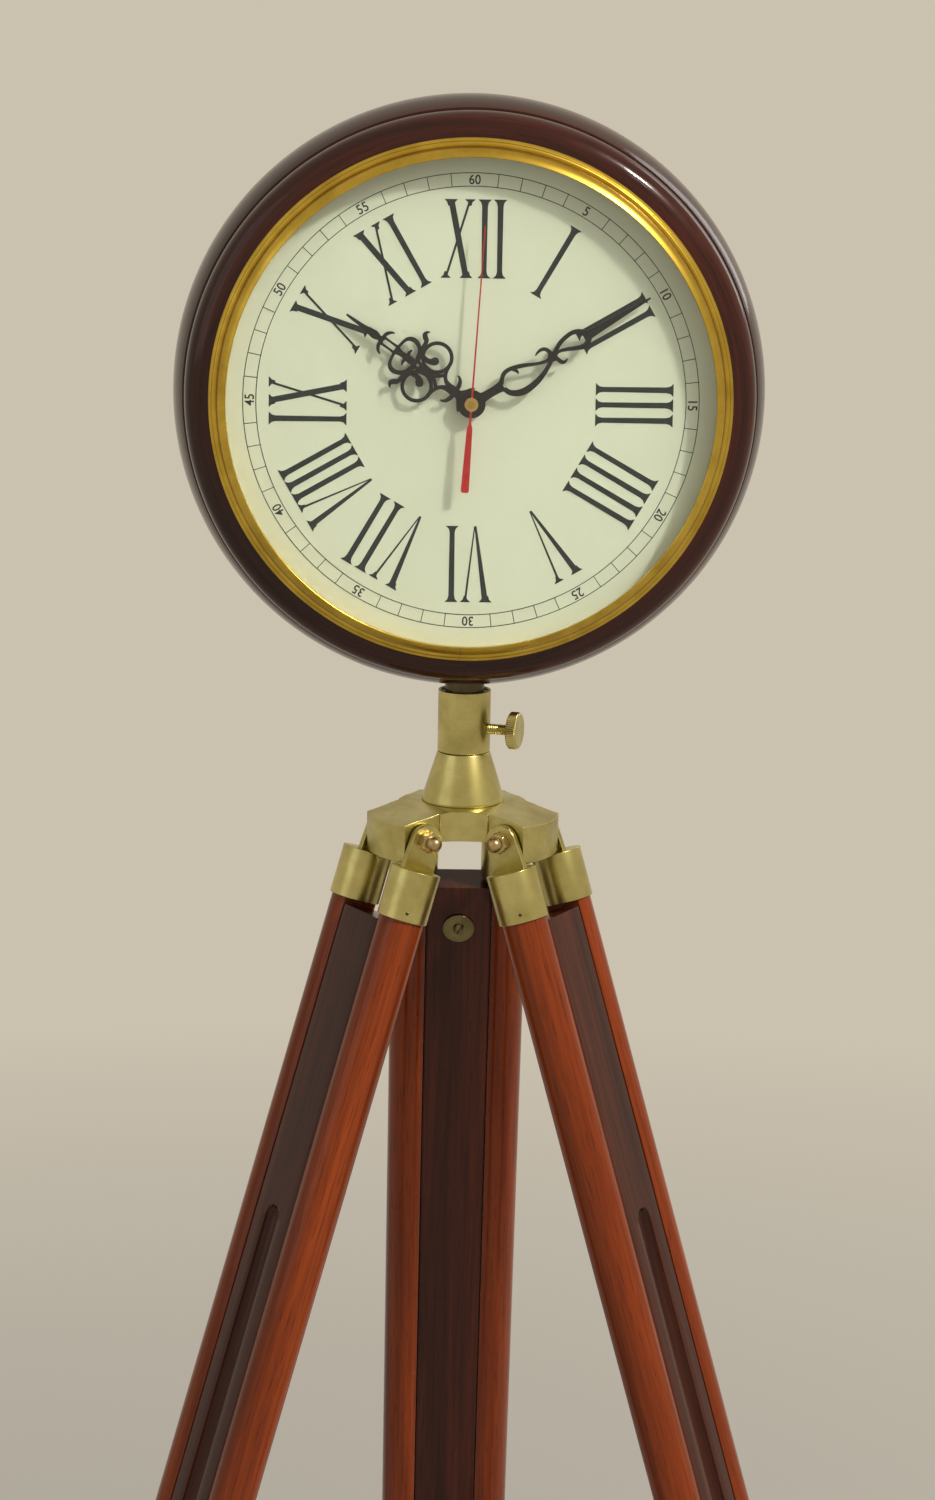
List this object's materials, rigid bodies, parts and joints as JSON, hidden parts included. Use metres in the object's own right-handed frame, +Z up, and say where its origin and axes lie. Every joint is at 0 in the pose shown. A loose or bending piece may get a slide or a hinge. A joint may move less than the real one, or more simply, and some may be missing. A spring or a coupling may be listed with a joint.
{
  "type": "tripod floor clock",
  "caption": "Round wall-style clock in a turned wooden case on a folding wooden tripod with brass fittings; legs slide and fold, head swivels, hands turn.",
  "frame": {"origin": "on the floor, under the middle of the standing clock's outline", "axes": "+Z up, the dial faces -Y, the rear leg stands towards +Y"},
  "size_m": [0.5602, 0.4893, 1.2233],
  "materials": {
    "mahogany": "high gloss, red-brown stain",
    "brass": "antique satin, brushed",
    "gilt_brass": "warm satin",
    "dark_brass": "satin",
    "steel": "zinc plated",
    "black_enamel": "black enamel, satin",
    "red_enamel": "red enamel",
    "clear_glass": "clear",
    "dial_enamel": "aged ivory enamel with printed numerals",
    "black_plastic": "black moulded",
    "copper_wire": "enamelled copper wire",
    "battery_jacket": "plain printed jacket"
  },
  "bodies": {
    "column": {"hub": "brass", "column_bolt": "steel", "cone": "brass", "sleeve": "brass", "pivot_studs": "brass", "acorn_nuts": "brass"},
    "neck_thumb_screw": {"neck_thumb_screw": "brass"},
    "clock_head": {"case_ring": "mahogany", "bezel": "gilt_brass", "glass": "clear_glass", "glass_clips": "steel", "dial": "dial_enamel", "dial_nut": "gilt_brass", "movement_case": "black_plastic", "movement_lid": "black_plastic", "battery": "battery_jacket", "motor_coil": "copper_wire", "neck": "dark_brass", "neck_screw": "steel"},
    "hour_hand": {"hour_hand": "black_enamel", "hour_wheel": "black_plastic"},
    "minute_hand": {"minute_hand": "black_enamel", "minute_arbor": "gilt_brass"},
    "second_hand": {"second_hand": "red_enamel", "second_arbor": "gilt_brass"},
    "setting_arbor": {"setting_knob": "black_plastic", "minute_wheel": "black_plastic"},
    "left_leg": {"left_leg_left_ferrule": "brass", "left_leg_right_ferrule": "brass", "left_leg_left_rail": "mahogany", "left_leg_right_rail": "mahogany", "left_leg_clamp": "brass"},
    "left_leg_slider": {"left_leg_board": "mahogany", "left_leg_board_screws": "brass", "left_leg_shoe": "brass"},
    "left_leg_clamp_screw": {"left_leg_clamp_screw": "brass"},
    "right_leg": {"right_leg_left_ferrule": "brass", "right_leg_right_ferrule": "brass", "right_leg_left_rail": "mahogany", "right_leg_right_rail": "mahogany", "right_leg_clamp": "brass"},
    "right_leg_slider": {"right_leg_board": "mahogany", "right_leg_board_screws": "brass", "right_leg_shoe": "brass"},
    "right_leg_clamp_screw": {"right_leg_clamp_screw": "brass"},
    "rear_leg": {"rear_leg_left_ferrule": "brass", "rear_leg_right_ferrule": "brass", "rear_leg_left_rail": "mahogany", "rear_leg_right_rail": "mahogany", "rear_leg_clamp": "brass"},
    "rear_leg_slider": {"rear_leg_board": "mahogany", "rear_leg_board_screws": "brass", "rear_leg_shoe": "brass"},
    "rear_leg_clamp_screw": {"rear_leg_clamp_screw": "brass"}
  },
  "joints": [
    {"name": "neck_thumb_screw_turn", "type": "hinge", "parent": "column", "child": "neck_thumb_screw", "pos_m": [0, -0.06872, 0.8874], "axis": [0.9563, -0.2924, 0], "range_deg": [0, 720]},
    {"name": "clock_head_swivel", "type": "hinge", "parent": "column", "child": "clock_head", "pos_m": [0, -0.06872, 0.9081], "axis": [0, 0, 1], "continuous": true},
    {"name": "minute_hand_turn", "type": "hinge", "parent": "clock_head", "child": "minute_hand", "pos_m": [0, -0.10472, 1.0667], "axis": [0, 1, 0], "continuous": true},
    {"name": "hour_hand_turn", "type": "hinge", "parent": "clock_head", "child": "hour_hand", "pos_m": [0, -0.10472, 1.0667], "axis": [0, 1, 0], "continuous": true},
    {"name": "second_hand_turn", "type": "hinge", "parent": "clock_head", "child": "second_hand", "pos_m": [0, -0.10472, 1.0667], "axis": [0, 1, 0], "continuous": true},
    {"name": "setting_arbor_turn", "type": "hinge", "parent": "clock_head", "child": "setting_arbor", "pos_m": [0, -0.10472, 1.0747], "axis": [0, 1, 0], "continuous": true},
    {"name": "left_leg_fold", "type": "hinge", "parent": "column", "child": "left_leg", "pos_m": [-0.03161, -0.08697, 0.8333], "axis": [0.5, -0.866, 0], "range_deg": [0, 18]},
    {"name": "left_leg_slide", "type": "slide", "parent": "left_leg", "child": "left_leg_slider", "axis": [-0.2676, -0.1545, -0.9511], "range_m": [0, 0.53]},
    {"name": "left_leg_clamp_screw_turn", "type": "hinge", "parent": "left_leg", "child": "left_leg_clamp_screw", "pos_m": [-0.23438, -0.20405, 0.12078], "axis": [-0.8236, -0.4755, 0.309], "range_deg": [0, 720]},
    {"name": "right_leg_fold", "type": "hinge", "parent": "column", "child": "right_leg", "pos_m": [0.03161, -0.08697, 0.8333], "axis": [0.5, 0.866, 0], "range_deg": [0, 18]},
    {"name": "right_leg_slide", "type": "slide", "parent": "right_leg", "child": "right_leg_slider", "axis": [0.2676, -0.1545, -0.9511], "range_m": [0, 0.53]},
    {"name": "right_leg_clamp_screw_turn", "type": "hinge", "parent": "right_leg", "child": "right_leg_clamp_screw", "pos_m": [0.23438, -0.20405, 0.12078], "axis": [0.8236, -0.4755, 0.309], "range_deg": [0, 720]},
    {"name": "rear_leg_fold", "type": "hinge", "parent": "column", "child": "rear_leg", "pos_m": [0, -0.03222, 0.8333], "axis": [-1, 0, 0], "range_deg": [0, 18]},
    {"name": "rear_leg_slide", "type": "slide", "parent": "rear_leg", "child": "rear_leg_slider", "axis": [0, 0.309, -0.9511], "range_m": [0, 0.53]},
    {"name": "rear_leg_clamp_screw_turn", "type": "hinge", "parent": "rear_leg", "child": "rear_leg_clamp_screw", "pos_m": [0, 0.20192, 0.12078], "axis": [0, 0.9511, 0.309], "range_deg": [0, 720]}
  ],
  "couplings": [
    {"joint": "hour_hand_turn", "follows": "minute_hand_turn", "ratio": 0.083333},
    {"joint": "setting_arbor_turn", "follows": "minute_hand_turn", "ratio": -0.33333}
  ]
}
